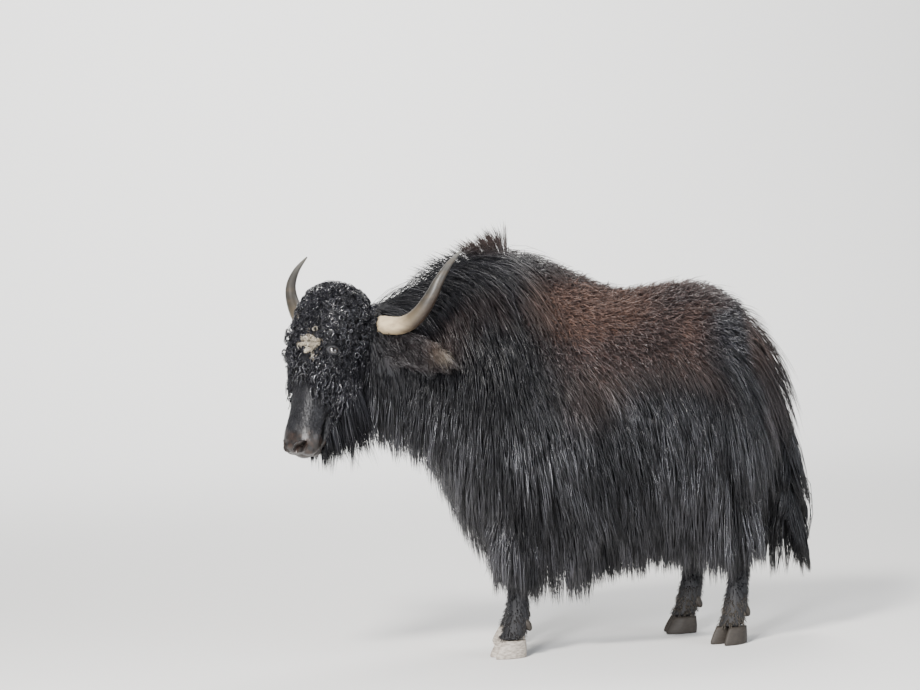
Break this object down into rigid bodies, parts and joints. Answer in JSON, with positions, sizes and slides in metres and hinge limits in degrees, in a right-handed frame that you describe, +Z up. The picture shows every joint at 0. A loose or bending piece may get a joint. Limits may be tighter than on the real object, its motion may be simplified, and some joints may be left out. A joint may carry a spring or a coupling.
{
  "type": "yak",
  "caption": "Life-size standing yak bull with a long hanging coat, curly forehead, upswept horns and a bushy tail, head turned to its left.",
  "frame": {"origin": "on the floor, under the middle of the animal's bounding box", "axes": "the animal faces -X, its left side is -Y, +Z is up; its head is turned about 37 degrees to its left"},
  "size_m": [1.881, 0.8218, 1.4695],
  "materials": {
    "coat": "long black hair with a cool sheen, brown over the back, curled on the forehead",
    "horn": "smooth horn, cream at the base and grey towards the tip",
    "claw": "dusty grey-beige hoof horn",
    "eye": "wet dark brown"
  },
  "bodies": {
    "root": {"torso": "coat", "neck": "coat", "head": "coat", "tail": "coat", "ear_left": "coat", "ear_right": "coat", "leg_front_left": "coat", "leg_front_right": "coat", "leg_hind_left": "coat", "leg_hind_right": "coat", "horn_left": "horn", "horn_right": "horn", "claw_front_left_left": "claw", "dewclaw_front_left_left": "claw", "claw_front_left_right": "claw", "dewclaw_front_left_right": "claw", "claw_front_right_left": "claw", "dewclaw_front_right_left": "claw", "claw_front_right_right": "claw", "dewclaw_front_right_right": "claw", "claw_hind_left_left": "claw", "dewclaw_hind_left_left": "claw", "claw_hind_left_right": "claw", "dewclaw_hind_left_right": "claw", "claw_hind_right_left": "claw", "dewclaw_hind_right_left": "claw", "claw_hind_right_right": "claw", "dewclaw_hind_right_right": "claw", "eye_left": "eye", "eye_right": "eye"}
  },
  "joints": []
}
